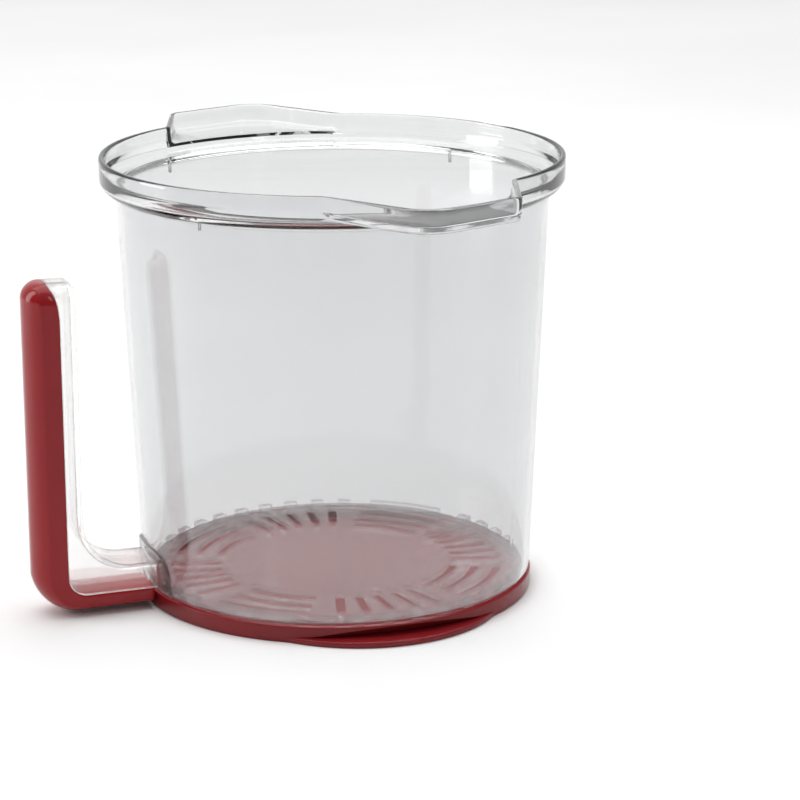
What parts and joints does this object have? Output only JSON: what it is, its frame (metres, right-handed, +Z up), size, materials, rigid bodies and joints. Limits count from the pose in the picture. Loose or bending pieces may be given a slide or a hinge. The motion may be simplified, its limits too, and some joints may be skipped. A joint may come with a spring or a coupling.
{
  "type": "popcorn maker container",
  "caption": "Clear bucket with a vented floor, an L-shaped two-part handle, two rim ears and a press-on cap that it stands on.",
  "frame": {"origin": "on the bucket's axis, where the cap rests on the surface", "axes": "+Z up along the bucket's axis, -X towards the handle, the two rim ears point roughly along -Y and +Y"},
  "size_m": [0.2262, 0.2552, 0.183],
  "materials": {
    "clear_wall": "clear, polished",
    "clear_floor": "clear, polished",
    "clear_bar": "clear, polished",
    "red_cover": "high gloss",
    "red_cap": "high gloss"
  },
  "bodies": {
    "cap": {"vent_cap": "red_cap"},
    "container": {"bucket": "clear_wall", "vent_plate": "clear_floor", "handle_bar": "clear_bar", "handle_trim": "red_cover"}
  },
  "joints": [
    {"name": "cap_release", "type": "slide", "parent": "cap", "child": "container", "axis": [0, 0, 1], "range_m": [0, 0.06]}
  ]
}
